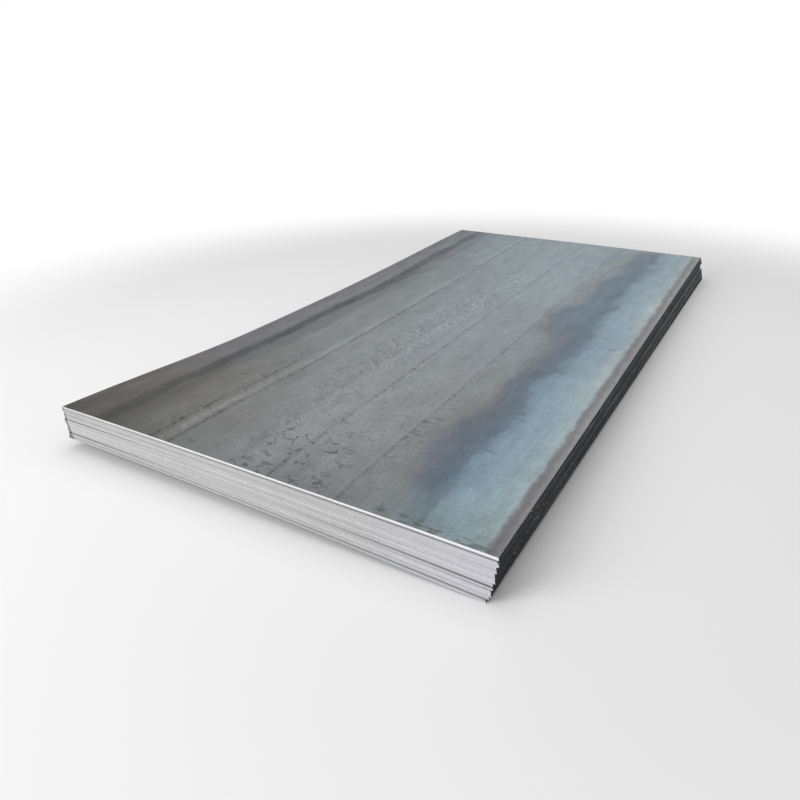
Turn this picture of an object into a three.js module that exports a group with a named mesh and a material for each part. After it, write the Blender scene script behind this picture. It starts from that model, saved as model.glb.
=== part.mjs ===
// A pile of hot-rolled steel plates as it lies on a level floor: full-size stock sheets, laid one on
// another a little askew, that have all taken the same set. The pile touches the floor along its
// right-hand long edge and in the middle of the left-hand one, where the plates dip, and its two
// left-hand corners stand clear. The long sides of each plate are mill edges, left round by the
// rolls, and its ends are sheared.
//
// Millimetres, +X across the width, +Y along the length, +Z up. The origin is the middle of the
// pile's outline, on the floor.

import * as THREE from 'three';

// ---------------------------------------------------------------- driving dimensions

const PLATE_WIDTH = 1500;
const PLATE_LENGTH = 3000;
const PLATE_THICKNESS = 8;

// Scale and waviness keep two stacked plates this far apart where they bear on each other.
const SEAT_GAP = 0.6;

// Mill edge: how far the rounding between the skins sets the edge of each skin back.
const MILL_ROUND = 2;

// Sheared end: the blade draws the upper skin down by the roll-over, cuts a clean upright band, and
// tears the rest off with an outward lean.
const ROLL_OVER = 0.8;
const ROLL_OVER_REACH = 4;
const TEAR_LEAN = 0.5;

// The set of the pile. Across the width it climbs from the right-hand edge to the left-hand one,
// with a crown that fades towards the far end, and the left-hand edge dips to the floor part of the
// way along.
const LEFT_RISE = 35;
const NEAR_CROWN = 8;
const FAR_CROWN = 1;
const DIP_FROM_MIDDLE = -330;
const DIP_REACH_NEAR = 1350;
const DIP_REACH_FAR = 2180;

// The dip fades out towards the right: this much of the width on the right keeps out of it.
const STEADY_WIDTH = 630;

// The flat stretches that lie on the floor: a patch in the dip and a strip at the right-hand edge.
const PATCH_WIDTH = 130;
const PATCH_LENGTH = 400;
const EDGE_STRIP = 20;

// How far the sprung corners at the near end reach into the plates.
const SPRUNG_WIDTH = 700;
const SPRUNG_LENGTH = 900;

// How each plate lies, the bottom one first: how far its near and far ends have slid to the right
// and the whole plate away from the near end, and how far its near corners stand off the plate
// below, over and above the seat gap.
const LAY = [
  { near: -21, far: 26, along: -2.0, rightSprung: 0.0, leftSprung: 0.0 },
  { near: -15, far: 24, along: -1.0, rightSprung: 1.2, leftSprung: 0.3 },
  { near: -10, far: 23, along: -2.5, rightSprung: 0.1, leftSprung: 0.1 },
  { near: -12, far: 19, along: -0.5, rightSprung: 0.2, leftSprung: 0.8 },
  { near: -8, far: 18, along: -1.5, rightSprung: 1.1, leftSprung: 0.1 },
  { near: -9, far: 15, along: 0.5, rightSprung: 1.3, leftSprung: 0.0 },
  { near: -4, far: 14, along: -1.0, rightSprung: 0.1, leftSprung: 0.1 },
  { near: -6, far: 5, along: 0.0, rightSprung: 0.2, leftSprung: 0.0 },
  { near: -6, far: 3, along: -1.5, rightSprung: 0.1, leftSprung: 0.1 },
  { near: -3, far: 4, along: 0.5, rightSprung: 0.2, leftSprung: 0.2 },
  { near: -3, far: 8, along: -0.5, rightSprung: 0.9, leftSprung: 0.7 },
  { near: 1, far: 5, along: 0.5, rightSprung: 0.3, leftSprung: 0.2 },
  { near: -2, far: 3, along: -0.5, rightSprung: 0.2, leftSprung: 0.9 },
  { near: 0, far: 0, along: 0.0, rightSprung: 0.7, leftSprung: 0.3 },
];

// Facets of each plate: across the steady part, across the bend, and along the length on the near
// and the far side of the floor patch.
const STEADY_FACETS = 3;
const BEND_FACETS = 5;
const NEAR_FACETS = 6;
const FAR_FACETS = 8;

// Facet lines round a plate's edge, as shares of its depth from the upper skin to the lower. The
// mill edge stands out in full between the two inner ones, and the upper of them ends the clean
// band of a sheared end.
const EDGE_LINES = [0, 1 / 3, 2 / 3, 1];

// Clearance by which the facets that lie on the floor patch stay inside it, however a plate has slid.
const PATCH_MARGIN = 30;

// ---------------------------------------------------------------- the common set of the pile

const { clamp, lerp, smoothstep } = THREE.MathUtils;
const HALF_WIDTH = PLATE_WIDTH / 2;
const HALF_LENGTH = PLATE_LENGTH / 2;

// Height of the pile's underside out of the dip, from its right-hand edge strip to the left: a
// straight climb with a crown on it.
function climb(fromRight, crown) {
  const share = fromRight / (PLATE_WIDTH - EDGE_STRIP);
  return LEFT_RISE * share + 4 * crown * share * (1 - share);
}

// Slope of that climb at a distance from the right.
function climbSlope(fromRight, crown) {
  const span = PLATE_WIDTH - EDGE_STRIP;
  return (LEFT_RISE + 4 * crown * (1 - 2 * (fromRight / span))) / span;
}

// Height above the floor along the bottom of the dip: the climb on the steady part, then a curve
// that leaves it at the same slope and runs out level on the floor patch.
function dipFloor(fromRight, crown) {
  const start = STEADY_WIDTH - EDGE_STRIP;
  const end = PLATE_WIDTH - EDGE_STRIP - PATCH_WIDTH;
  if (fromRight <= start) return climb(fromRight, crown);
  if (fromRight >= end) return 0;
  const s = (fromRight - start) / (end - start);
  const keepHeight = 2 * s ** 3 - 3 * s ** 2 + 1;
  const keepSlope = s ** 3 - 2 * s ** 2 + s;
  return climb(start, crown) * keepHeight + climbSlope(start, crown) * (end - start) * keepSlope;
}

// How deep in the dip a place along the length is, from 0 to 1: a cosine bell with a level middle.
function dipShare(y) {
  const offset = y - DIP_FROM_MIDDLE;
  const reach = offset < 0 ? DIP_REACH_NEAR : DIP_REACH_FAR;
  const level = PATCH_LENGTH / 2;
  const s = clamp((Math.abs(offset) - level) / (reach - level), 0, 1);
  return (1 + Math.cos(Math.PI * s)) / 2;
}

// Underside of the pile at a place on the floor plan.
function pileUnderside(x, y) {
  const fromRight = Math.max(HALF_WIDTH - EDGE_STRIP - x, 0);
  const crown = lerp(NEAR_CROWN, FAR_CROWN, (y + HALF_LENGTH) / PLATE_LENGTH);
  return lerp(climb(fromRight, crown), dipFloor(fromRight, crown), dipShare(y));
}

// Share, from 0 to 1, of a near corner's spring that reaches a place; side is 1 right and -1 left.
function sprungShare(x, y, side) {
  const fromEdge = HALF_WIDTH - side * x;
  const fromEnd = y + HALF_LENGTH;
  return (1 - smoothstep(fromEdge, 0, SPRUNG_WIDTH)) * (1 - smoothstep(fromEnd, 0, SPRUNG_LENGTH));
}

// Underside of one plate of the pile, with 0 the bottom plate.
function plateUnderside(index, x, y) {
  const laidSoFar = LAY.slice(0, index + 1);
  const right = laidSoFar.reduce((sum, plate) => sum + plate.rightSprung, 0);
  const left = laidSoFar.reduce((sum, plate) => sum + plate.leftSprung, 0);
  const seated = pileUnderside(x, y) + index * (PLATE_THICKNESS + SEAT_GAP);
  return seated + right * sprungShare(x, y, 1) + left * sprungShare(x, y, -1);
}

// ---------------------------------------------------------------- one plate

// Evenly spaced stations from one place to another, without the last.
function stations(from, to, count) {
  return Array.from({ length: count }, (_, i) => lerp(from, to, i / count));
}

// Facet lines across a plate, from its left-hand edge to its right-hand one.
const ACROSS = [
  -HALF_WIDTH,
  ...stations(PATCH_WIDTH - PATCH_MARGIN - HALF_WIDTH, HALF_WIDTH - STEADY_WIDTH, BEND_FACETS),
  ...stations(HALF_WIDTH - STEADY_WIDTH, HALF_WIDTH, STEADY_FACETS),
  HALF_WIDTH,
];

// Facet lines along a plate, from its near end to its far one.
const PATCH_NEAR = DIP_FROM_MIDDLE - PATCH_LENGTH / 2 + PATCH_MARGIN;
const PATCH_FAR = DIP_FROM_MIDDLE + PATCH_LENGTH / 2 - PATCH_MARGIN;
const ALONG = [
  -HALF_LENGTH,
  ...stations(ROLL_OVER_REACH - HALF_LENGTH, PATCH_NEAR, NEAR_FACETS),
  PATCH_NEAR,
  ...stations(PATCH_FAR, HALF_LENGTH - ROLL_OVER_REACH, FAR_FACETS),
  HALF_LENGTH - ROLL_OVER_REACH,
  HALF_LENGTH,
];

// The closed skin of a warped block, from a lattice of columns, rows and levels, where the levels
// run from the top down. pointAt gives the place of a lattice point. Only the points on the outside
// are made, and neighbouring sides share them.
function latticeShell(columns, rows, levels, pointAt) {
  const numbers = new Map();
  const places = [];
  const vertex = (column, row, level) => {
    const key = (level * rows + row) * columns + column;
    if (!numbers.has(key)) {
      numbers.set(key, numbers.size);
      places.push(...pointAt(column, row, level));
    }
    return numbers.get(key);
  };

  // One side of the block, a grid of quads counter-clockwise seen from outside.
  const faces = [];
  const addSide = (width, height, cornerAt) => {
    for (let i = 0; i < width; i += 1) {
      for (let j = 0; j < height; j += 1) {
        const start = cornerAt(i, j);
        const opposite = cornerAt(i + 1, j + 1);
        faces.push(start, cornerAt(i + 1, j), opposite, start, opposite, cornerAt(i, j + 1));
      }
    }
  };
  const [right, far, bottom] = [columns - 1, rows - 1, levels - 1];
  addSide(right, far, (i, j) => vertex(i, j, 0));
  addSide(far, right, (i, j) => vertex(j, i, bottom));
  addSide(right, bottom, (i, j) => vertex(i, 0, bottom - j));
  addSide(bottom, right, (i, j) => vertex(j, far, bottom - i));
  addSide(far, bottom, (i, j) => vertex(right, i, bottom - j));
  addSide(bottom, far, (i, j) => vertex(0, j, bottom - i));

  const geometry = new THREE.BufferGeometry();
  geometry.setAttribute('position', new THREE.Float32BufferAttribute(places, 3));
  geometry.setIndex(faces);
  geometry.computeVertexNormals();
  return geometry;
}

// A plate's solid in its own plan, with its mill edges along the sides and its sheared ends.
// underside gives the height of its lower skin at a place in the plan.
function plateGeometry(underside) {
  const [lastColumn, lastRow] = [ACROSS.length - 1, ALONG.length - 1];
  const cleanBand = EDGE_LINES[1];
  return latticeShell(ACROSS.length, ALONG.length, EDGE_LINES.length, (column, row, level) => {
    const depth = EDGE_LINES[level];
    const onSkin = depth === 0 || depth === 1;
    const atMillEdge = column === 0 || column === lastColumn;
    const atShearedEnd = row === 0 || row === lastRow;

    const tornShare = Math.max(depth - cleanBand, 0) / (1 - cleanBand);
    const roundedIn = atMillEdge && onSkin ? MILL_ROUND : 0;
    const leanedIn = atShearedEnd ? TEAR_LEAN * (1 - tornShare) : 0;
    const x = ACROSS[column] - Math.sign(ACROSS[column]) * roundedIn;
    const y = ALONG[row] - Math.sign(ALONG[row]) * leanedIn;

    const thickness = PLATE_THICKNESS - (atShearedEnd ? ROLL_OVER : 0);
    return [x, y, underside(x, y) + thickness * (1 - depth)];
  });
}

// Plates differ a little in the tone of their mill scale.
function scaleMaterial(index) {
  const tone = 0.5 + 0.03 * Math.sin(2.4 * index);
  return new THREE.MeshStandardMaterial({
    color: new THREE.Color().setHSL(0.56, 0.06, tone),
    roughness: 0.55,
    metalness: 0.6,
    flatShading: true,
  });
}

// One plate, turned and slid as it lies, bent to the pile under it.
function makePlate(lay, index) {
  const plate = new THREE.Mesh(undefined, scaleMaterial(index));
  plate.name = `plate_${String(index + 1).padStart(2, '0')}`;
  plate.position.set((lay.near + lay.far) / 2, lay.along, 0);
  plate.rotation.z = -Math.asin((lay.far - lay.near) / PLATE_LENGTH);
  plate.updateMatrix();

  const place = new THREE.Vector3();
  plate.geometry = plateGeometry((x, y) => {
    place.set(x, y, 0).applyMatrix4(plate.matrix);
    return plateUnderside(index, place.x, place.y);
  });
  return plate;
}

// ---------------------------------------------------------------- the pile

const pile = new THREE.Group();
pile.name = 'plate_stack';
LAY.forEach((lay, index) => pile.add(makePlate(lay, index)));

// The origin goes to the middle of the outline.
const outlineBox = new THREE.Box3().setFromObject(pile, true);
const middle = outlineBox.getCenter(new THREE.Vector3());
pile.position.set(-middle.x, -middle.y, -outlineBox.min.z);

export default pile;
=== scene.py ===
"""A pile of hot-rolled steel plates in a plain studio.

Each plate of the pile is a closed sheet with a smooth bent skin, rounded mill edges along its
sides and sheared ends with a rolled-over upper edge. Its plan and set are read from the solid
that it stands for, so the two agree wherever the pile is bent or turned. Lengths are in metres
and angles in degrees, where nothing else is said.
"""

from __future__ import annotations

import logging
import math
from dataclasses import dataclass
from enum import IntEnum
from functools import partialmethod

import bpy
import numpy as np
from mathutils import Matrix, Vector

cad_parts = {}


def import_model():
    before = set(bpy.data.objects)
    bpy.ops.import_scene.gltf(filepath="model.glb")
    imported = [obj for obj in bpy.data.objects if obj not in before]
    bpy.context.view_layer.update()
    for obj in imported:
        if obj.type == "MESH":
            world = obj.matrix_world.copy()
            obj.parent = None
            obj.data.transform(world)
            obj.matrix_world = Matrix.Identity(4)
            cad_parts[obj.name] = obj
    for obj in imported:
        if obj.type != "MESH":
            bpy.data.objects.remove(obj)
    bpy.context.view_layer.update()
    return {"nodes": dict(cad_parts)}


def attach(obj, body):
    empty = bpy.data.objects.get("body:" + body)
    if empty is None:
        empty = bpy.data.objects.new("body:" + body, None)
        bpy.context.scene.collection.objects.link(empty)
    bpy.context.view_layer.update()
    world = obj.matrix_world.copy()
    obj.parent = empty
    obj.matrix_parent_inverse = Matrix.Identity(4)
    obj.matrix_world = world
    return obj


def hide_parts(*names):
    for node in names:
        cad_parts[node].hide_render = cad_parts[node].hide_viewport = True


LOG = logging.getLogger("plate_pile")

MM = 0.001
WHITE = "#ffffff"
BLACK = "#000000"
NOISE_RANGE = (0.3, 0.7)

Socket = bpy.types.NodeSocket
Tree = bpy.types.NodeTree
Surface = tuple[Socket, "Grey | float", "Grey"]


# ---- small tools


def linear(hex_colour: str) -> tuple[float, float, float, float]:
    """Turn an sRGB hex colour into a linear RGBA value.

    Args:
        hex_colour: six hex digits with or without a leading hash.

    Returns:
        Red, green and blue on a linear scale, and an alpha of 1.
    """
    digits = hex_colour.lstrip("#")
    shares = [int(digits[i : i + 2], 16) / 255 for i in (0, 2, 4)]
    red, green, blue = (s / 12.92 if s <= 0.04045 else ((s + 0.055) / 1.055) ** 2.4 for s in shares)
    return red, green, blue, 1.0


def add_node(tree: Tree, kind: str, inputs: dict, **settings: object) -> bpy.types.Node:
    """Add one node to a tree, set it and feed it.

    Args:
        tree: the node tree to add to.
        kind: the node's type, less the prefix that all shader nodes share.
        inputs: what feeds each input: a grey, a socket, a hex colour or a plain value.
        **settings: the node's own properties.

    Returns:
        The new node.
    """
    node = tree.nodes.new("ShaderNode" + kind)
    for name, value in settings.items():
        setattr(node, name, value)
    for key, value in inputs.items():
        value = value.socket if isinstance(value, Grey) else value
        if isinstance(value, Socket):
            tree.links.new(value, node.inputs[key])
        else:
            node.inputs[key].default_value = linear(value) if isinstance(value, str) else value
    return node


def new_tree(owner: bpy.types.Material | bpy.types.World) -> Tree:
    """Give a material or a world an empty node tree.

    Args:
        owner: the material or the world.

    Returns:
        Its node tree.
    """
    owner.use_nodes = True
    owner.node_tree.nodes.clear()
    return owner.node_tree


# ---- patterns


@dataclass(frozen=True)
class Grey:
    """A grey value in a node tree, which arithmetic joins to numbers and to other greys.

    a | b is the larger of the two.
    """

    socket: Socket

    def through(self, kind: str, inputs: dict, **settings: object) -> Grey:
        """The first output of a node that is added to this grey's tree."""
        return Grey(add_node(self.socket.id_data, kind, inputs, **settings).outputs[0])

    def join(self, operation: str, other: Grey | float, first: bool = True) -> Grey:
        """What an operation makes of this grey and another value, this one first or second."""
        pair = (self, other) if first else (other, self)
        return self.through("Math", dict(enumerate(pair)), operation=operation)

    __add__ = __radd__ = partialmethod(join, "ADD")
    __sub__ = partialmethod(join, "SUBTRACT")
    __rsub__ = partialmethod(join, "SUBTRACT", first=False)
    __mul__ = __rmul__ = partialmethod(join, "MULTIPLY")
    __or__ = partialmethod(join, "MAXIMUM")

    def ease(
        self, low: float, high: float, to_low: float = 0, to_high: float = 1, curve: str = "SMOOTHSTEP"
    ) -> Grey:
        """Carry the grey from between low and high to between to_low and to_high, and clamp a curve."""
        inputs = {"Value": self, "From Min": low, "From Max": high, "To Min": to_low, "To Max": to_high}
        return self.through("MapRange", inputs, interpolation_type=curve, clamp=curve != "LINEAR")

    def band(self, centre: float, half: float, soft: float) -> Grey:
        """A strip that is 1 within half of the centre and fades to 0 over soft."""
        return (self - centre).join("ABSOLUTE", 0.0).ease(half, half + soft, 1, 0)


def coats(base: Socket | str, *layers: tuple[Socket | str, Grey]) -> Socket:
    """Lay colours over one another.

    Args:
        base: the lowest colour.
        *layers: each colour over it, with its share from 0 to 1.

    Returns:
        The colour that shows.
    """
    for over, share in layers:
        inputs = {0: share, 6: base, 7: over}
        base = add_node(share.socket.id_data, "Mix", inputs, data_type="RGBA").outputs[2]
    return base


@dataclass
class Pattern:
    """Grey patterns over a plate's plan, built in one node tree.

    x runs across the plate from its middle. across and along are shares of its width and length,
    from 0 at the left and at the near end to 1.

    Attributes:
        tree: the node tree.
        half_width: half the plate's width.
        half_length: half the plate's length.
    """

    tree: Tree
    half_width: float
    half_length: float

    def __post_init__(self) -> None:
        """Lay out the coordinates that every pattern reads."""
        self.place = add_node(self.tree, "TexCoord", {}).outputs["Object"]
        axes = add_node(self.tree, "SeparateXYZ", {0: self.place}).outputs
        self.x = Grey(axes["X"])
        self.across = self.x.ease(-self.half_width, self.half_width, curve="LINEAR")
        self.along = Grey(axes["Y"]).ease(-self.half_length, self.half_length, curve="LINEAR")

    def own(self, name: str) -> Grey:
        """A value that the plate's mesh stores."""
        return Grey(add_node(self.tree, "Attribute", {}, attribute_name=name).outputs["Fac"])

    def noise(
        self, size: tuple[float, ...], detail: float = 3.0, rough: float = 0.55, shift: float = 0.0
    ) -> Grey:
        """Soft noise that mostly stays within NOISE_RANGE.

        Args:
            size: the grain along x and y, or along x, y and z.
            detail: octaves of finer grain.
            rough: how strong the finer octaves are.
            shift: moves the noise to another stretch of itself.

        Returns:
            The noise.
        """
        scale = tuple(1 / s for s in size) + (1.0,) * (3 - len(size))
        inputs = {"Vector": self.place, "Location": (shift, shift, shift), "Scale": scale}
        stretched = add_node(self.tree, "Mapping", inputs).outputs[0]
        inputs = {"Vector": stretched, "Scale": 1.0, "Detail": detail, "Roughness": rough}
        texture = add_node(self.tree, "TexNoise", inputs, noise_dimensions=f"{len(size)}D")
        return Grey(texture.outputs[0])

    def sway(self, size: tuple[float, ...], most: float, detail: float = 2.0, shift: float = 0.0) -> Grey:
        """Noise as an offset that swings about as far as most to either side of 0."""
        return self.noise(size, detail, shift=shift).ease(*NOISE_RANGE, -most, most, "LINEAR")

    def tone(self, size: tuple[float, ...], swing: float, **grain: float) -> Grey:
        """Noise of any grain as a factor that swings about as far as swing to either side of 1."""
        return self.noise(size, **grain).ease(*NOISE_RANGE, 1 - swing, 1 + swing, "LINEAR")

    def patches(self, size: tuple[float, ...], start: float, end: float, **grain: float) -> Grey:
        """Patches of 1 on 0, where noise of any grain passes from start to end."""
        return self.noise(size, **grain).ease(start, end)

    def cells(
        self, size: tuple[float, float], push: float, feature: str, shift: float = 0.0
    ) -> bpy.types.bpy_prop_collection:
        """Random cells on the plan, with their borders bent by noise.

        Args:
            size: a cell's size across and along.
            push: how far the borders are bent.
            feature: what the texture measures.
            shift: moves the cells to another stretch of themselves.

        Returns:
            The texture's outputs.
        """
        inputs = {"Vector": self.place, "Scale": 22.0, "Detail": 2.0}
        place = add_node(self.tree, "TexNoise", inputs, noise_dimensions="2D").outputs[1]
        steps = (("SUBTRACT", 1, (0.5, 0.5, 0.5)), ("SCALE", "Scale", 2 * push), ("ADD", 1, self.place))
        for operation, key, value in steps:
            inputs = {0: place, key: value}
            place = add_node(self.tree, "VectorMath", inputs, operation=operation).outputs[0]
        inputs = {"Vector": place, "Location": (shift, shift, 0), "Scale": (1 / size[0], 1 / size[1], 0)}
        scaled = add_node(self.tree, "Mapping", inputs).outputs[0]
        inputs = {"Vector": scaled, "Scale": 1.0}
        return add_node(self.tree, "TexVoronoi", inputs, voronoi_dimensions="2D", feature=feature).outputs


# ---- finishes


@dataclass(frozen=True)
class Finish:
    """What the finishes of a plate share: a material that reads the plan and the mesh.

    Attributes:
        name: the material's name.
        metallic: how much of the surface is bare metal.
        roughness: how matt the surface is.
        gloss: its specular level.
        bump: how strongly its relief shows.
        bump_height: how high the relief is.
        painted_shade: colour of painted shade at open seams and the left-hand corner of an end.
    """

    name: str = ""
    metallic: float = 0.35
    roughness: float = 0.5
    gloss: float = 0.5
    bump: float = 0.6
    bump_height: float = 0.5 * MM
    # Painted shade, laid at open seams and beside the left-hand corner of the ends.
    painted_shade: str = "#333436"

    def paint(self, p: Pattern) -> Surface:
        """Work out the finish, as each kind does in its own way.

        Args:
            p: the plate's patterns.

        Returns:
            The colour, the roughness and the relief.
        """
        raise NotImplementedError

    def material(self, half_width: float, half_length: float) -> bpy.types.Material:
        """Build the finish's material.

        Args:
            half_width: half the plate's width.
            half_length: half the plate's length.

        Returns:
            The material.
        """
        material = bpy.data.materials.new(self.name)
        tree = new_tree(material)
        colour, roughness, relief = self.paint(Pattern(tree, half_width, half_length))
        raised = {"Strength": self.bump, "Distance": self.bump_height, "Height": relief}
        inputs = {
            "Base Color": colour,
            "Metallic": self.metallic,
            "Roughness": roughness,
            "Specular IOR Level": self.gloss,
            "Normal": add_node(tree, "Bump", raised).outputs[0],
        }
        shader = add_node(tree, "BsdfPrincipled", inputs)
        add_node(tree, "OutputMaterial", {"Surface": shader.outputs[0]})
        return material


@dataclass(frozen=True)
class RollMark:
    """A line that the mill's rolls left along a plate.

    Attributes:
        place: where it lies across the width, from 0 at the left to 1.
        left: how far it fades out to the left, in millimetres.
        right: the same to the right.
        depth: how much darker, or below 0 how much lighter, than the scale round it.
        broken: 0 for an unbroken line to 1 for a line of scattered dashes.
        reach: the part of the length that shows it, from 0 at the near end to 1.
    """

    place: float
    left: float
    right: float
    depth: float
    broken: float
    reach: tuple[float, float] = (0.0, 1.0)


@dataclass(frozen=True)
class MillScale(Finish):
    """Hot-rolled skin: the blue-grey oxide that forms as the plate cools.

    It is a thin, hard, half-glossy layer. Where the plate cooled slower or faster it took temper
    colours, from straw and violet to a deep and then a pale blue, and along the mill edge it is
    thicker, duller and browner. The rolls drew lines along it, and where the plate was bent the
    layer cracked and flaked.

    The colours come first, each named for where it shows or for what it is like. Places are
    shares of the width from the left, or of the length from the near end.

    Attributes:
        grain: size of the finest grain.
        body: share of a tone's brightness that the colour gives, as the gloss adds the rest.
        front: where the temper colours are deepest.
        tempers: the temper colours, and how far to the right of that each one lies.
        bulges: where their front swells to the left, or below 0 to the right: the middle, the half
            length, the fade and how far.
        mark_fade: how far a roll mark fades out at its two ends.
        roll_marks: the lines along the plate.
    """

    near_field: str = "#898a8c"
    # The far field's colour: partly the scale's own tint, partly a painted reflection.
    far_field: str = "#8b9ba4"
    worn_field: str = "#84857f"
    umber: str = "#5c5048"
    olive: str = "#5f5c52"
    near_streak: str = "#3b3a35"
    far_streak: str = "#3c3f4e"
    violet: str = "#6a6672"
    far_blue: str = "#5e7786"
    oxide: str = "#7b787b"
    halo: str = "#b2bbb8"
    rim: str = "#94979a"
    bloom: str = "#84938f"
    # A near-white painted highlight on the lit ledges beside the sheared ends.
    rim_highlight: str = "#ececed"
    name: str = "mill_scale"
    grain: float = 6 * MM
    body: float = 0.85
    front: float = 0.822
    tempers: tuple[tuple[float, str], ...] = (
        (-0.110, "#757a7d"),  # straw
        (-0.055, "#757a7d"),
        (-0.028, "#656b75"),  # dusk
        (0.000, "#586575"),  # deep blue
        (0.025, "#627888"),
        (0.055, "#8198a6"),  # pale blue
        (0.095, "#8ca3b0"),
        (0.135, "#96abb1"),  # sea grey
    )
    bulges: tuple[tuple[float, float, float, float], ...] = (
        (0.16, 0.03, 0.06, 0.026),
        (0.30, 0.03, 0.05, -0.012),
        (0.53, 0.035, 0.085, 0.050),
        (0.70, 0.04, 0.07, 0.018),
    )
    mark_fade: float = 0.05
    roll_marks: tuple[RollMark, ...] = (
        RollMark(0.015, 22, 34, 0.16, 0.2),
        RollMark(0.162, 60, 8, 0.09, 0.2, (0.26, 0.48)),
        RollMark(0.18, 8, 45, -0.08, 0.2, (0.26, 0.48)),
        RollMark(0.184, 6, 8, -0.13, 0.7, (0.2, 0.42)),
        RollMark(0.25, 12, 8, 0.24, 0.7, (0.18, 0.28)),
        RollMark(0.267, 22, 8, 0.36, 0.3, (0, 0.24)),
        RollMark(0.288, 18, 26, -0.18, 0.1, (0, 0.2)),
        RollMark(0.3, 36, 8, -0.24, 0.2),
        RollMark(0.31, 6, 18, 0.38, 0.2),
        RollMark(0.43, 20, 12, 0.05, 0.7, (0, 0.6)),
        RollMark(0.468, 40, 6, 0.1, 0.4, (0, 0.75)),
        RollMark(0.484, 8, 50, -0.08, 0.3, (0, 0.75)),
        RollMark(0.556, 8, 18, 0.29, 0.3),
        RollMark(0.645, 10, 6, 0.07, 0.8, (0, 0.4)),
        RollMark(0.701, 8, 120, 0.12, 0.1),
        RollMark(0.703, 6, 10, 0.16, 0.4),
    )

    def field_colour(self, p: Pattern) -> Socket:
        """The open field: bluer towards the far end, and dimmer, in the end olive, at the near left.

        The bluer far end is partly the scale's own tint and partly a painted reflection of the pale
        surround.

        Args:
            p: the plate's patterns.

        Returns:
            The field's colour.
        """
        left = (p.across + p.sway((0.5, 0.8), 0.03, shift=31)).ease(0.05, 0.55, 1, 0)
        worn = left * p.along.band(0.55, 0.12, 0.3) * 0.55
        olive = left * p.along.ease(0, 0.45, 1, 0).ease(0, 1, 0.05, 0.9)
        last = p.along.ease(0, 0.14, 1, 0) * 0.17
        outer = p.across.ease(0, 0.1, 0.2, 0)
        far_right = p.across.band(0.73, 0.03, 0.07) * p.along.ease(0.78, 0.92, 0.02, 0.08)
        brink = p.along.ease(0, 0.03, 0.06, 0)
        dim = left * 0.36 + last + outer + far_right + brink
        # Painted reflection, with the scale's own tint, grows towards the far end.
        far_tint_and_reflection = p.along.ease(0, 0.9)
        shown = ((self.far_field, far_tint_and_reflection), (self.worn_field, worn), (self.olive, olive), (BLACK, dim))
        return coats(self.near_field, *shown)

    def side_streak(self, p: Pattern, colour: Socket) -> Socket:
        """A dark streak near the left-hand edge, sharp on its left and drawn out on its right.

        Args:
            p: the plate's patterns.
            colour: the colour under it.

        Returns:
            The colour with the streak, a violet cloud beside it and rust on the edge.
        """
        middle = p.along.ease(0.5, 1, 0.097, 0.088)
        bent = p.along.ease(0, 0.22, 0.022, 0)
        slow = p.sway((2, 0.3), 0.004, shift=33)
        offset = p.across - (middle + bent + slow + p.sway((0.1, 0.04), 0.0015, shift=37))
        core = offset.band(0, 0.009, 0.018) * 0.54
        drawn = offset.ease(-0.025, 0) * offset.ease(0.004, 0.09, 1, 0) * 0.42
        ragged = p.tone((0.02, 0.25), 0.2, shift=35) * p.tone((0.014, 0.05), 0.2, shift=36)
        fading = p.along.ease(0.6, 1, 1, 0.7) + p.along.ease(0, 0.35, 0.45, 0)
        streak = (core + drawn) * ragged * fading
        dark = coats(self.near_streak, (self.far_streak, p.along.ease(0.05, 0.35)))
        cloud = p.across.ease(0.02, 0.09, 1, 0) * p.along.band(0.5, 0.15, 0.35) * 0.65
        rust = p.across.ease(0, 0.025, 1, 0) * p.along.band(0.14, 0.08, 0.12)
        rust = rust * p.patches((0.03, 0.1), 0.42, 0.56, shift=55) * 0.75
        return coats(colour, (dark, streak), (BLACK, streak * 0.42), (self.violet, cloud), (self.umber, rust))

    def temper_colour(self, p: Pattern, colour: Socket) -> Socket:
        """Temper colours along the right-hand side, behind a soft front that swells to the left.

        Args:
            p: the plate's patterns.
            colour: the colour under them.

        Returns:
            The colour with the temper colours.
        """
        swells = sum(p.along.band(middle, half, fade) * swell for middle, half, fade, swell in self.bulges)
        slow = p.sway((3, 0.42), 0.013, detail=1, shift=3)
        fine = p.sway((0.06, 0.1), 0.006, detail=3, shift=7)
        front = p.across + swells * p.across.ease(0.75, 0.845, 1, 0) + slow + fine
        ramp = add_node(p.tree, "ValToRGB", {0: front})
        elements = ramp.color_ramp.elements
        while len(elements) < len(self.tempers):
            elements.new(0.5)
        for element, (offset, tint) in zip(elements, self.tempers):
            element.position = self.front + offset
            element.color = linear(tint)

        torn = front + p.sway((0.03, 0.14), 0.009, detail=4, shift=47)
        step = torn.band(self.front + 0.02, 0.01, 0.002) * 0.13
        veil = p.tone((0.1, 0.45), 0.05, detail=4, shift=23)
        pale = p.across.band(0.875, 0.025, 0.03) * p.along.band(0.17, 0.03, 0.06)
        near = p.along.ease(0, 0.35, 0.94, 1) - p.along.ease(0, 0.06, 0.07, 0) + pale * 0.085
        cold = front.band(self.front - 0.008, 0.02, 0.035) * p.along.ease(0.42, 0.62, 0, 0.6)
        bloom = p.along.ease(0, 0.09, 0.45, 0)
        tint = coats(ramp.outputs[0], (self.far_blue, cold), (self.bloom, bloom))
        tone = veil * near * (1 - step)
        lit = add_node(p.tree, "VectorMath", {0: tint, "Scale": tone}, operation="SCALE")
        return coats(colour, (lit.outputs[0], front.ease(self.front - 0.1, self.front - 0.02)))

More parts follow.
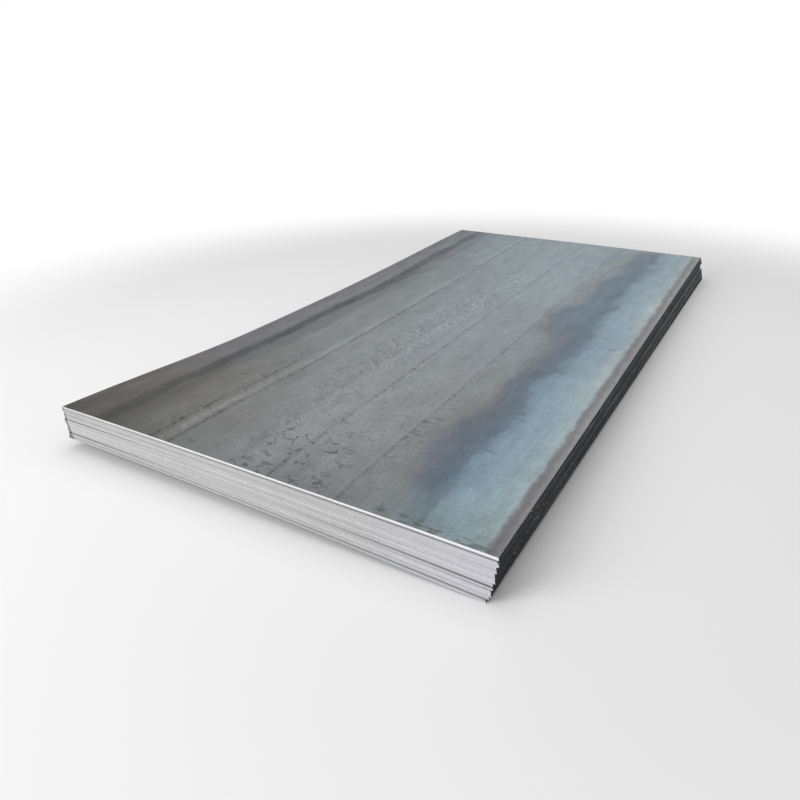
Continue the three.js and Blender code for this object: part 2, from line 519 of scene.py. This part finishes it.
    def edge_colour(self, p: Pattern, colour: Socket) -> Socket:
        """Thick brown-grey oxide beside the right-hand mill edge, with a ragged border and a worn rim.

        A paler, patchy halo runs before it on the middle of the length, and the far corner is duller.

        Args:
            p: the plate's patterns.
            colour: the colour under it.

        Returns:
            The colour with the oxide, its halo and its rim.
        """
        ragged = p.sway((0.035, 0.06), 0.0035, detail=5, shift=11)
        nearer = p.along.ease(0, 0.35, -0.0035, 0)
        further = p.along.ease(0.6, 0.9, 0, 0.003)
        border = p.across + ragged + nearer + further
        straying = p.across + p.sway((0.3, 0.25), 0.004, shift=57)
        halo = straying.band(0.958, 0.003, 0.015) * p.along.band(0.48, 0.12, 0.26)
        halo = halo * p.patches((0.3, 0.25), 0.34, 0.6, shift=59) * 0.6
        oxide = border.ease(0.967, 0.978)
        rim = border.ease(0.982, 0.992) * 0.7
        near = oxide * p.along.ease(0, 0.23, 0.24, 0.02)
        far = p.along.ease(0.97, 0.992, 0, 0.55) * p.across.ease(0.68, 0.76)
        edge = ((self.oxide, oxide), (self.rim, rim), (BLACK, near), (self.rim, far))
        return coats(colour, (self.halo, halo), *edge)

    def lines(self, p: Pattern) -> Grey:
        """Darkening from the roll marks, each a line that wobbles, breaks up and comes to an end.

        Args:
            p: the plate's patterns.

        Returns:
            The darkening.
        """
        wobble = p.x + p.sway((4, 0.35), 3 * MM, shift=41) + p.sway((4, 0.02), 1.5 * MM, shift=43)
        gaps = p.noise((0.04, 0.07), detail=2, shift=5)
        dark = 0.0
        for mark in self.roll_marks:
            middle = (mark.place - 0.5) * 2 * p.half_width
            left, right = middle - mark.left * MM, middle + mark.right * MM
            flanks = wobble.ease(left, middle) * wobble.ease(middle, right, 1, 0)
            start = 0.36 + 0.2 * mark.broken
            shown = gaps.ease(start, start + 0.12, 0.8 * (1 - mark.broken), 1)
            near, far = mark.reach
            inside = p.along.band((near + far) / 2, (far - near) / 2, self.mark_fade)
            dark = dark + flanks * shown * inside * mark.depth
        beads = p.tone((0.02, 0.016), 0.8, detail=2, shift=45)
        return dark * beads * p.along.ease(0, 0.9, 1.15, 0.75)

    def cracks(self, p: Pattern) -> Grey:
        """Darkening from the net of fine cracks in the scale near the near end, less its lit flecks.

        Args:
            p: the plate's patterns.

        Returns:
            The darkening.
        """
        border = Grey(p.cells((0.062, 0.048), 26 * MM, "DISTANCE_TO_EDGE")["Distance"])
        width = p.noise((0.035, 0.035), shift=49).ease(0.38, 0.62, -0.015, 0.06)
        line = (border - width).ease(-0.012, 0.028, 1, 0)
        dense = p.across.band(0.56, 0.07, 0.07) * p.along.band(0.04, 0.03, 0.07)
        sparse = p.across.band(0.58, 0.12, 0.08) * p.along.band(0.1, 0.06, 0.14)
        patchy = p.patches((0.12, 0.08), 0.36, 0.46, shift=13)
        lit = p.patches((0.007, 0.006), 0.6, 0.66, detail=1, shift=53)
        dull = p.along.band(0.025, 0.015, 0.03) * p.across.band(0.6, 0.06, 0.06)
        cracked = line * (dense | sparse * 0.36) * patchy * 0.58
        return cracked + dull * 0.06 - lit * dense * 0.2

    def flakes(self, p: Pattern) -> Grey:
        """Darkening where the scale has flaked, partly painted shade on each chip's shaded side: chips in
        columns, and stray spots on the near half.

        A chip's far right side catches the light, so the same chips, moved a fifth of their
        size, are taken off as brightening.

        Args:
            p: the plate's patterns.

        Returns:
            The darkening.
        """
        middle = p.across.band(0.46, 0.035, 0.06) * p.along.band(0.46, 0.18, 0.26)
        left = p.across.band(0.262, 0.02, 0.03) * p.along.ease(0.15, 0.35, 0.8, 0)
        chips = p.patches((0.034, 0.034), 0.54, 0.6, detail=2.5, shift=17)
        lit = p.patches((0.034, 0.034), 0.54, 0.6, detail=2.5, shift=17.2)
        crumbs = p.patches((0.01, 0.016), 0.61, 0.66, detail=2, shift=19)
        gathered = p.patches((0.12, 0.25), 0.48, 0.62, shift=20)
        fading = p.along.ease(0.1, 0.8, 0.22, 0.04)
        strewn = crumbs * gathered * fading * p.across.ease(0.72, 0.82, 1, 0.2)
        # The chips' darkening and the moved copy taken off are painted shade and a painted highlight.
        return (chips * 0.28 - lit * 0.21) * (middle | left) + strewn

    def stains(self, p: Pattern) -> Grey:
        """Darkening from smudges on the temper colours beside the near end."""
        smudge = p.patches((0.05, 0.022), 0.5, 0.6, shift=51)
        return smudge * p.along.ease(0.006, 0.022, 1, 0) * p.across.band(0.88, 0.09, 0.03) * 0.45

    def scores(self, p: Pattern) -> Grey:
        """Darkening from short scores across the plate, most of them near the near end.

        Args:
            p: the plate's patterns.

        Returns:
            The darkening.
        """
        cells = p.cells((0.11, 0.035), 8 * MM, "F1", shift=5)
        chosen = Grey(add_node(p.tree, "SeparateColor", {0: cells["Color"]}).outputs[0])
        gathered = p.across.band(0.6, 0.08, 0.05) * p.along.band(0.16, 0.1, 0.1)
        short = Grey(cells["Distance"]).ease(0.1, 0.22, 1, 0)
        return short * (chosen + gathered * 0.12).ease(0.94, 0.96) * 0.28

    def mottle(self, p: Pattern) -> Grey:
        """Brightness from near blotches, broad clouds, smears, drawn streaks and two grains.

        Args:
            p: the plate's patterns.

        Returns:
            The brightness, round the body's.
        """
        blotches = p.sway((0.13, 0.15), 0.07, detail=3, shift=61) * p.along.ease(0, 0.4, 1, 0)
        clouds = p.tone((0.3, 0.75), 0.06, detail=4, shift=1)
        smears = p.tone((0.055, 0.11), 0.086, detail=4, rough=0.6, shift=25)
        streaks = p.tone((0.012, 0.45), 0.045, detail=4, shift=2)
        coarse = p.tone((0.018, 0.02), 0.06, shift=27)
        fine = p.tone((self.grain, self.grain), 0.07, detail=2)
        return self.body * (1 + blotches) * clouds * smears * streaks * coarse * fine

    def paint(self, p: Pattern) -> Surface:
        """Work out the skin, with a painted highlight or, at an open seam, painted shade on the end rims.

        Args:
            p: the plate's patterns.

        Returns:
            The colour, the roughness and the relief.
        """
        bloom = p.patches((0.1, 0.22), 0.5, 0.66, shift=29)
        bloom = bloom * p.along.ease(0, 0.5, 0.08, 0.26) * p.across.ease(0.08, 0.3)
        colour = coats(self.field_colour(p), (self.bloom, bloom))
        for layer in (self.side_streak, self.temper_colour, self.edge_colour):
            colour = layer(p, colour)
        dark = sum(part(p) for part in (self.lines, self.cracks, self.flakes, self.scores, self.stains))
        tone = self.mottle(p) * (1 - dark)
        lit = add_node(p.tree, "VectorMath", {0: colour, "Scale": tone}, operation="SCALE")
        # The end rims are painted: near white as a highlight on the lit ledges, dark as shade where the seam
        # above is open.
        rim = coats(self.rim_highlight, (self.painted_shade, p.own("seam_shade")))
        colour = coats(lit.outputs[0], (rim, p.own("rim").ease(0.1, 0.5)))
        roughness = p.sway((0.06, 0.2), 0.06, detail=4, shift=21) + self.roughness
        return colour, roughness, p.noise((self.grain,) * 3) * 0.6 - dark


@dataclass(frozen=True)
class ShearedSteel(Finish):
    """Bare cut steel of the ends: silvery, with fine upright tear lines below a burnished band.

    On some plates the upper edge is darkened with painted shade, where the seam above it is
    open. Beside the left-hand mill edge a ragged strip of painted shade runs down the corner.

    Attributes:
        bright: colour of the burnished band.
        torn: colour of the torn face below it.
        cool: colour that the face takes on towards the right.
        tear: how far apart the tear lines are.
    """

    name: str = "sheared_steel"
    roughness: float = 0.45
    bump: float = 0.3
    bump_height: float = 0.2 * MM
    bright: str = "#cccccc"
    torn: str = "#b9b9ba"
    cool: str = "#d6d6de"
    tear: float = 3 * MM

    def paint(self, p: Pattern) -> Surface:
        """Work out the face from its depth below the upper skin and its plate's tone and painted highlight.

        Args:
            p: the plate's patterns.

        Returns:
            The colour, the roughness and the relief.
        """
        depth = p.own("depth")
        cool = p.across.ease(0.72, 1, 0, 0.72)
        colour = coats(self.torn, (self.bright, depth.ease(0.3, 0.55, 1, 0)), (self.cool, cool))
        tears = p.tone((self.tear, self.tear, 0.05), 0.06)
        smears = p.tone((0.05, 0.05, 0.004), 0.06, shift=5)
        broad = p.tone((0.3, 0.3, 0.03), 0.05, detail=2, shift=4)
        # The plate's tone holds the top plate's painted highlight.
        tone = tears * smears * broad * p.own("tone")
        lit = add_node(p.tree, "VectorMath", {0: colour, "Scale": tone}, operation="SCALE")
        # Painted shade: on the upper edge below an open seam, and in a ragged strip beside the left-hand
        # corner.
        shaded_top_edge = p.own("seam_shade") * depth.ease(0.08, 0.2, 1, 0)
        ragged = p.x + p.half_width + p.sway((0.004, 0.004, 0.004), 2.5 * MM, shift=3)
        shade_share = shaded_top_edge | ragged.ease(2.5 * MM, 5 * MM, 0.7, 0)
        return coats(lit.outputs[0], (self.painted_shade, shade_share)), self.roughness, tears


@dataclass(frozen=True)
class MillEdge(Finish):
    """As-rolled edge of the long sides: dark, dull scale with drawn streaks and a few bare nicks.

    Attributes:
        scale: colour of the scale, partly its own dark oxide and partly painted shade.
        worn: colour of the streaks where it is worn.
        nick: colour of the bare nicks.
        streak: how wide a streak is.
    """

    name: str = "mill_edge_scale"
    metallic: float = 0.0
    roughness: float = 0.8
    gloss: float = 0.2
    bump: float = 0.4
    bump_height: float = 0.4 * MM
    # The scale and worn colours are partly the dark oxide's own and partly painted shade, as the right-hand
    # side faces away from the light.
    scale: str = "#1f2022"
    worn: str = "#3b3c3e"
    nick: str = "#b4b5b7"
    streak: float = 1.5 * MM

    def paint(self, p: Pattern) -> Surface:
        """Work out the edge from noise that is drawn out along it.

        Args:
            p: the plate's patterns.

        Returns:
            The colour, the roughness and the relief.
        """
        drawn = p.noise((self.streak, 0.15, self.streak), detail=4)
        specks = p.patches((0.004, 0.012, 0.003), 0.67, 0.71, detail=1, shift=9)
        sparse = p.patches((0.1, 0.25, 0.05), 0.51, 0.61, detail=1, shift=6)
        colour = coats(self.scale, (self.worn, drawn.ease(0.42, 0.68)), (self.nick, specks * sparse))
        broad = p.tone((0.1, 0.4, 0.05), 0.15, shift=8)
        pitted = p.tone((0.012, 0.03, 0.004), 0.3, shift=12)
        lit = add_node(p.tree, "VectorMath", {0: colour, "Scale": broad * pitted}, operation="SCALE")
        return lit.outputs[0], self.roughness, drawn


# ---- the plates


class Zone(IntEnum):
    """The three finishes of a plate, in the order of its material slots."""

    SKIN = 0
    SHEARED = 1
    MILL_EDGE = 2


def smooth_through(stations: np.ndarray, values: np.ndarray, wanted: np.ndarray) -> np.ndarray:
    """Draw a smooth curve through values at stations, along the first axis.

    Between two stations it is the cubic that has both heights and both slopes, where the slope
    at a station is that of the parabola through it and its neighbours.

    Args:
        stations: where the values are known, rising.
        values: the values, with one row for each station.
        wanted: where the curve is read.

    Returns:
        The curve, with one row for each wanted place.
    """
    slopes = np.gradient(values, stations, axis=0)
    cell = np.clip(np.searchsorted(stations, wanted, side="right") - 1, 0, len(stations) - 2)
    span = (stations[cell + 1] - stations[cell])[:, None]
    s = (wanted - stations[cell])[:, None] / span
    rest = 1 - s
    return (
        (1 + 2 * s) * rest**2 * values[cell]
        + s * rest**2 * span * slopes[cell]
        + s**2 * (3 - 2 * s) * values[cell + 1]
        - s**2 * rest * span * slopes[cell + 1]
    )


@dataclass
class SheetForm:
    """The plan and the set of one plate, as its solid has them.

    Attributes:
        node: the solid's object.
        centre: its middle on the floor plan, as a complex number.
        turn: how far it is turned on the floor plan, in radians.
        half_width: from the middle to where a mill edge stands out furthest.
        half_length: the same for a sheared end.
        columns: facet lines of the skins across the plate, from left to right.
        rows: facet lines along the plate, from the near end to the far one.
        lower: height of the lower skin where a row meets a column.
        thickness: from skin to skin.
    """

    node: bpy.types.Object

    def __post_init__(self) -> None:
        """Read the corners, the facet lines and the heights on them."""
        corners = np.array([vertex.co for vertex in self.node.data.vertices], dtype=float)
        points = np.unique(corners.round(6), axis=0)

        plan = points[:, 0] + 1j * points[:, 1]
        near_left, far_right = (plan[pick(plan.real + plan.imag)] for pick in (np.argmin, np.argmax))
        near_right = plan[np.argmax(plan.real - plan.imag)]
        self.turn = np.angle(near_right - near_left)
        self.centre = (near_left + far_right) / 2

        own = (plan - self.centre) * np.exp(-1j * self.turn)
        x, y = own.real, own.imag
        self.half_width, self.half_length = np.abs(x).max(), np.abs(y).max()
        self.columns, self.rows = self.facet_lines(x), self.facet_lines(y)
        column = np.abs(x[:, None] - self.columns).argmin(axis=1)
        row = np.abs(y[:, None] - self.rows).argmin(axis=1)
        shape = (len(self.rows), len(self.columns))
        self.lower = np.full(shape, np.inf)
        upper = np.full(shape, -np.inf)
        np.minimum.at(self.lower, (row, column), points[:, 2])
        np.maximum.at(upper, (row, column), points[:, 2])

        depth = upper - self.lower
        self.thickness = float(np.median(depth))
        on_skin = np.median(depth, axis=0) > self.thickness / 2
        self.columns, self.lower = self.columns[on_skin], self.lower[:, on_skin]
        self.rows[0], self.rows[-1] = -self.half_length, self.half_length

    @staticmethod
    def facet_lines(places: np.ndarray) -> np.ndarray:
        """Middle of each cluster of places, where two clusters lie over a millimetre apart."""
        ordered = np.sort(places)
        return np.array([c.mean() for c in np.split(ordered, np.flatnonzero(np.diff(ordered) > MM) + 1)])

    def underside(self, x: np.ndarray, y: np.ndarray) -> np.ndarray:
        """Heights of the lower skin on a grid, one row for each y and one column for each x."""
        across = smooth_through(self.columns, self.lower.T, x)
        return smooth_through(self.rows, across.T, y)


@dataclass
class Plate:
    """One plate of the pile as a closed mesh.

    Its section is a ring: the upper skin, the right mill edge, the lower skin and the left mill
    edge. It is carried along the length, and an end face closes it at either end.

    Attributes:
        form: the plan and set of the plate.
        tone: brightness of its sheared ends, round 1.
        seed: picks the plate's own unevenness.
        painted_highlight: how much painted highlight its burnished bands gain towards the right.
        bulge: how far the mill edge swells out between the skins.
        edge_wander: how far the mill edge strays from straight.
        roll_depth: how far the upper skin is drawn down at a sheared end.
        roll_reach: how far from the end that starts.
        rim_reach: how far from the end the rim's painted highlight or shade fades out.
        burr: how far the torn lower edge stands out.
        wave: height of the skin's slight unevenness.
        shut: how far the upper skin is raised towards the plate above.
        seam: how open the seam above it is, and how dark with painted shade, at the left, in the
            middle and at the right, from 0 to 1.
        skin_margin: from a skin's long edge to its first inner mesh line.
        skin_columns: evenly spaced mesh lines along the plate.
        skin_rows: those across it.
        edge_levels: mesh lines between the skins, on the edges and the ends.
        sharp_angle: the turn at which the mesh has a sharp edge.
    """

    form: SheetForm
    tone: float
    seed: int
    painted_highlight: float = 0.0
    bulge: float = 2.0 * MM
    edge_wander: float = 0.8 * MM
    roll_depth: float = 0.35 * MM
    roll_reach: float = 4.0 * MM
    rim_reach: float = 12.0 * MM
    burr: float = 0.25 * MM
    wave: float = 0.0
    shut: float = 0.0
    seam: tuple[float, float, float] = (0.0, 0.0, 0.0)
    skin_margin: float = 4.0 * MM
    skin_columns: int = 40
    skin_rows: int = 120
    edge_levels: int = 5
    sharp_angle: float = 40.0

    def stations(self) -> tuple[np.ndarray, np.ndarray]:
        """Places of the mesh lines: even, and close together beside the edges.

        Returns:
            The places across the plate and those along it.
        """
        half_width = self.form.half_width - self.bulge
        half_length = self.form.half_length - self.burr
        inner = np.linspace(self.skin_margin - half_width, half_width - self.skin_margin, self.skin_columns)
        x = np.concatenate([[-half_width], inner, [half_width]])
        close = half_length - self.roll_reach * np.array([0.0, 0.08, 0.2, 0.4, 0.7, 1.0, 3.0])
        inner = np.linspace(-close[-1], close[-1], self.skin_rows)[1:-1]
        y = np.concatenate([-close, inner, close[::-1]])
        return x, y

    def seam_at(self, x: np.ndarray) -> np.ndarray:
        """Openness and painted shade of the seam at places across the plate, straight between its values."""
        return np.interp(x / self.form.half_width, (-1, -0.1, 1), self.seam)

    def unevenness(self, places: np.ndarray, shortest: float, count: int = 6) -> np.ndarray:
        """A smooth random line between about -1 and 1: sines of seeded phases, each 1.7 times longer."""
        phase = np.random.default_rng(self.seed).uniform(0, 2 * np.pi, count)
        return np.sin(2 * np.pi * places[:, None] / (shortest * 1.7 ** np.arange(count)) + phase).mean(axis=1)

    def skins(self, x: np.ndarray, y: np.ndarray) -> tuple[np.ndarray, np.ndarray]:
        """Work out the skins on a grid.

        The lower one is the solid's. The upper one is a thickness above it, drawn down near a
        sheared end by the cube of the distance still to go to where the roll-over starts, and
        half as far at the left as at the right.

        Args:
            x: places across the plate.
            y: places along it.

        Returns:
            Heights of the upper and of the lower skin.
        """
        lower = self.form.underside(x, y)
        to_end = y[-1] - np.abs(y)
        drawn = self.roll_depth * np.clip(1 - to_end / self.roll_reach, 0, 1) ** 3
        depth = np.outer(drawn, np.interp(x, x[[0, -1]], [0.5, 1.0]))
        ripple = np.outer(self.unevenness(y, 0.16), self.unevenness(x + 7, 0.12))
        raised = self.shut * (1 - self.seam_at(x))
        return lower + self.form.thickness + raised - depth + self.wave * ripple, lower

    def rings(self, x: np.ndarray, y: np.ndarray) -> np.ndarray:
        """Work out the section rings.

        A mill edge is half an oval that is squarer than an ellipse: its outward share is the cube
        root of 1 less the cube of its height's share.

        Args:
            x: places across the plate.
            y: places along it.

        Returns:
            Points as rows, ring places and axes: across, along, height and depth, which runs from 0
            at the upper skin to 1 at the lower one.
        """
        upper, lower = self.skins(x, y)
        levels = np.linspace(1, -1, self.edge_levels + 2)[1:-1]
        swell = self.bulge * (1 - np.abs(levels) ** 3) ** (1 / 3)
        share = (levels + 1) / 2

        sides = []
        for column, outward in ((-1, 1), (0, -1)):
            wander = self.edge_wander * (self.unevenness(y + 3 * outward, 0.09) - 1) / 2
            reach = x[column] + outward * (swell[None, :] + wander[:, None])
            height = lower[:, column, None] + share * (upper - lower)[:, column, None]
            sides.append(np.stack(np.broadcast_arrays(reach, y[:, None], height, 1 - share), axis=2))
        right, left = sides
        top, bottom = (
            np.stack(np.broadcast_arrays(x, y[:, None], height, depth), axis=2)
            for height, depth in ((upper, 0.0), (lower, 1.0))
        )
        return np.concatenate([top, right, bottom[:, ::-1], left[:, ::-1]], axis=1)

    def end_points(self, top: np.ndarray, bottom: np.ndarray, outward: int) -> np.ndarray:
        """Work out the inner points of a sheared end.

        The torn lower part leans outwards to the burr, by the square of its depth.

        Args:
            top: points of the upper skin at that end.
            bottom: those of the lower skin below them.
            outward: 1 at the far end and -1 at the near one.

        Returns:
            The points, as levels, columns and axes.
        """
        share = np.linspace(0, 1, self.edge_levels + 2)[1:-1, None, None]
        inner = top + share * (bottom - top)
        inner[:, :, 1] += outward * self.burr * share[:, :, 0] ** 2
        return inner

    def build(self, name: str) -> bpy.types.Object:
        """Make the plate's mesh object.

        Args:
            name: the object's name.

        Returns:
            The object, with one face zone for each finish.
        """
        x, y = self.stations()
        columns, rows, levels = len(x), len(y), self.edge_levels
        rings = self.rings(x, y)
        places = rings.shape[1]
        points = rings.reshape(-1, 4)

        index = np.arange(rows * places).reshape(rows, places)
        after = np.roll(index, -1, axis=1)
        wall = np.stack([index[:-1], after[:-1], after[1:], index[1:]], axis=2)
        strip = np.repeat((Zone.SKIN, Zone.MILL_EDGE) * 2, (columns - 1, levels + 1) * 2)
        faces, zones = [wall.reshape(-1, 4)], [np.tile(strip, rows - 1)]
        for ring, outward in ((index[0], -1), (index[-1], 1)):
            top, right, bottom, left = np.split(ring, np.cumsum((columns, levels, columns)))
            grid = np.empty((levels + 2, columns), dtype=int)
            grid[0], grid[-1] = top, bottom[::-1]
            grid[1:-1, -1], grid[1:-1, 0] = right, left[::-1]
            inner = self.end_points(points[grid[0, 1:-1]], points[grid[-1, 1:-1]], outward).reshape(-1, 4)
            grid[1:-1, 1:-1] = len(points) + np.arange(len(inner)).reshape(levels, -1)
            points = np.concatenate([points, inner])
            quads = np.stack([grid[:-1, :-1], grid[1:, :-1], grid[1:, 1:], grid[:-1, 1:]], axis=2)
            faces.append(quads.reshape(-1, 4)[:, ::-outward])
            zones.append(np.full(len(faces[-1]), Zone.SHEARED))

        mesh = bpy.data.meshes.new(name)
        x, y, height, _ = points.T
        plan = self.form.centre + (x + 1j * y) * np.exp(1j * self.form.turn)
        on_floor = np.column_stack([plan.real, plan.imag, height])
        mesh.from_pydata(on_floor.tolist(), [], np.concatenate(faces).tolist())
        mesh.polygons.foreach_set("material_index", np.concatenate(zones).astype(np.int32))
        mesh.polygons.foreach_set("use_smooth", np.ones(len(mesh.polygons), dtype=bool))
        self.write_attributes(mesh, points)
        mesh.set_sharp_from_angle(angle=math.radians(self.sharp_angle))
        mesh.update()
        plate = bpy.data.objects.new(name, mesh)
        bpy.context.scene.collection.objects.link(plate)
        return plate

    def write_attributes(self, mesh: bpy.types.Mesh, points: np.ndarray) -> None:
        """Store on each vertex what the finishes read.

        depth is the point's own. rim falls from 1 at a sheared end to 0 at the rim's reach. scaly,
        which sets the painted shade at the seam, and tone are the plate's.

        Args:
            mesh: the plate's mesh.
            points: its points, as the section rings have them.
        """
        x, y, _, depth = points.T
        across = 0.5 + x / (2 * self.form.half_width)
        rim = np.clip(1 - (np.abs(y).max() - np.abs(y)) / self.rim_reach, 0, 1)
        burnished = np.clip((0.70 - depth) / 0.25, 0, 1)
        # On the top plate a painted highlight brightens the burnished band, more towards the right.
        tone = self.tone + self.painted_highlight * burnished * np.clip(0.25 + 1.6 * across, 0, 1)
        # scaly carries how strongly the seam's painted shade shows.
        values = {"depth": depth, "rim": rim, "seam_shade": self.seam_at(x), "tone": tone}
        for name, value in values.items():
            attribute = mesh.attributes.new(name, "FLOAT", "POINT")
            attribute.data.foreach_set("value", value.astype(np.float32))


@dataclass
class PlatePile:
    """All the plates, each in the place of its solid.

    Attributes:
        nodes: the solids by name.
        finishes: the finishes, in the order of the zones.
        slot: the record's material slot of every plate; not used.
        top: what sets the top plate apart, among it the painted highlight on its end face.
        shut: how much of the gap above a plate is closed where no seam shows.
        seams: each plate with an open seam above it, darkened with painted shade, by its number,
            and how much of that shows at the left, in the middle and at the right.
    """

    nodes: dict[str, bpy.types.Object]
    finishes: tuple[Finish, ...] = (MillScale(), ShearedSteel(), MillEdge())
    slot: str = "mill_scale_steel"
    top: tuple[tuple[str, float], ...] = (("painted_highlight", 0.5), ("wave", 0.5 * MM), ("rim_reach", 2.0 * MM))
    shut: float = 0.40 * MM
    seams: tuple[tuple[int, float, float, float], ...] = (
        (13, 0.9, 0.9, 0.6),
        (12, 0.5, 0.1, 0.0),
        (11, 1.0, 0.3, 0.0),
        (10, 0.0, 0.0, 0.4),
        (9, 0.9, 0.0, 0.0),
        (5, 0.0, 0.1, 0.7),
        (4, 0.0, 0.0, 0.3),
        (3, 0.9, 0.1, 0.0),
        (1, 0.9, 0.6, 0.5),
    )

    def build(self) -> list[bpy.types.Object]:
        """Build and dress every plate.

        Returns:
            The plates, bottom one first.
        """
        names = sorted(self.nodes)
        forms = [SheetForm(self.nodes[name]) for name in names]
        size = forms[0].half_width, forms[0].half_length
        materials = [finish.material(*size) for finish in self.finishes]
        seams = {number: shown for number, *shown in self.seams}
        plates = []
        for number, (name, form) in enumerate(zip(names, forms)):
            own = dict(self.top) if name == names[-1] else {"shut": self.shut}
            tone = 0.97 + 0.05 * math.sin(2.3 * number + 0.7)
            plate = Plate(form, tone, number, seam=seams.get(number + 1, Plate.seam), **own)
            piece = plate.build(f"sheet_{name[-2:]}")
            for material in materials:
                piece.data.materials.append(material)
            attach(piece, "root")
            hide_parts(name)
            LOG.info("%s: %d faces in the place of %s", piece.name, len(piece.data.polygons), name)
            plates.append(piece)
        return plates


# ---- the studio


@dataclass
class Studio:
    """Plain pale floor, soft light from above and the near left, and the camera.

    Attributes:
        camera_place: where the camera stands.
        azimuth: how far the camera stands round to the right of the near end.
        elevation: how far it looks down.
        roll: how far it leans.
        lens: focal length in millimetres on a 36 mm wide film.
        floor_colour: the floor round the pile.
        floor_reach: half the floor's width.
        fade: distances from the middle at which the floor starts to turn white and is white.
        sky_light: how much light the surround gives.
        lamps: each light's name, place, target, width and power in watts.
    """

    camera_place: tuple[float, float, float] = (1.1575, -2.6044, 1.0824)
    azimuth: float = 30.521
    elevation: float = 25.864
    roll: float = -1.412
    lens: float = 30.0
    floor_colour: str = "#f2f2f2"
    floor_reach: float = 40.0
    fade: tuple[float, float] = (1.9, 3.4)
    sky_light: float = 0.45
    lamps: tuple[tuple[str, tuple, tuple, float, float], ...] = (
        ("overhead", (0.0, 0.5, 5.0), (0, 0, 0), 5.0, 95.0),
        ("near_left", (-2.5, -5.0, 2.6), (0, -0.5, 0), 3.0, 160.0),
    )

    def build(self) -> None:
        """Set up the view, the surround, the floor, the light and the camera."""
        bpy.context.scene.view_settings.view_transform = "Standard"
        self.build_world()
        self.build_floor()
        self.build_lamps()
        self.build_camera()

    def add_seen(self, tree: Tree) -> Grey:
        """1 for rays from the camera, off a gloss or through glass, and 0 for rays that bring light."""
        path = add_node(tree, "LightPath", {}).outputs
        return Grey(path["Is Camera Ray"]) | Grey(path["Is Glossy Ray"]) | Grey(path["Is Transmission Ray"])

    def build_world(self) -> None:
        """A plain pale surround, white where the camera or a reflection meets it."""
        world = bpy.data.worlds.new("pale_room")
        bpy.context.scene.world = world
        tree = new_tree(world)
        light, white = (
            add_node(tree, "Background", {"Color": WHITE, "Strength": strength}).outputs[0]
            for strength in (self.sky_light, 1.0)
        )
        mix = add_node(tree, "MixShader", {0: self.add_seen(tree), 1: light, 2: white})
        add_node(tree, "OutputWorld", {"Surface": mix.outputs[0]})

    def build_floor(self) -> None:
        """A level floor of one quad: pale and matt round the pile, fading to the white surround."""
        corners = np.array([[-1, -1, 0], [1, -1, 0], [1, 1, 0], [-1, 1, 0]]) * self.floor_reach
        mesh = bpy.data.meshes.new("floor")
        mesh.from_pydata(corners.tolist(), [], [[0, 1, 2, 3]])
        material = bpy.data.materials.new("pale_floor")
        tree = new_tree(material)
        inputs = {"Base Color": self.floor_colour, "Roughness": 0.9, "Specular IOR Level": 0.1}
        matt = add_node(tree, "BsdfPrincipled", inputs).outputs[0]
        white = add_node(tree, "Emission", {"Color": WHITE, "Strength": 1.0}).outputs[0]
        place = add_node(tree, "TexCoord", {}).outputs["Object"]
        distance = add_node(tree, "VectorMath", {0: place}, operation="LENGTH").outputs["Value"]
        share = Grey(distance).ease(*self.fade) * self.add_seen(tree)
        mix = add_node(tree, "MixShader", {0: share, 1: matt, 2: white})
        add_node(tree, "OutputMaterial", {"Surface": mix.outputs[0]})
        mesh.materials.append(material)
        floor = bpy.data.objects.new("floor", mesh)
        bpy.context.scene.collection.objects.link(floor)

    def build_lamps(self) -> None:
        """A wide square light overhead and one from the near left, each turned to its target."""
        for name, place, target, width, power in self.lamps:
            data = bpy.data.lights.new(name, "AREA")
            data.shape = "SQUARE"
            data.size = width
            data.energy = power
            lamp = bpy.data.objects.new(name, data)
            lamp.location = place
            lamp.rotation_euler = (Vector(target) - Vector(place)).to_track_quat("-Z", "Y").to_euler()
            bpy.context.scene.collection.objects.link(lamp)

    def build_camera(self) -> None:
        """Stand the camera in its place: leaned about its view, raised, then turned to the right."""
        turns = ((self.azimuth, "Z"), (90 - self.elevation, "X"), (self.roll, "Z"))
        round_up, raised, leaned = (Matrix.Rotation(math.radians(angle), 4, axis) for angle, axis in turns)
        data = bpy.data.cameras.new("camera")
        data.lens = self.lens
        data.sensor_width = 36.0
        camera = bpy.data.objects.new("camera", data)
        camera.matrix_world = Matrix.Translation(self.camera_place) @ round_up @ raised @ leaned
        bpy.context.scene.collection.objects.link(camera)
        bpy.context.scene.camera = camera


# ---- the whole scene


def main() -> None:
    """Build the studio and the pile."""
    logging.basicConfig(level=logging.INFO, format="%(name)s: %(message)s")
    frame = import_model()
    Studio().build()
    PlatePile(frame["nodes"]).build()


if __name__ == "__main__":
    main()
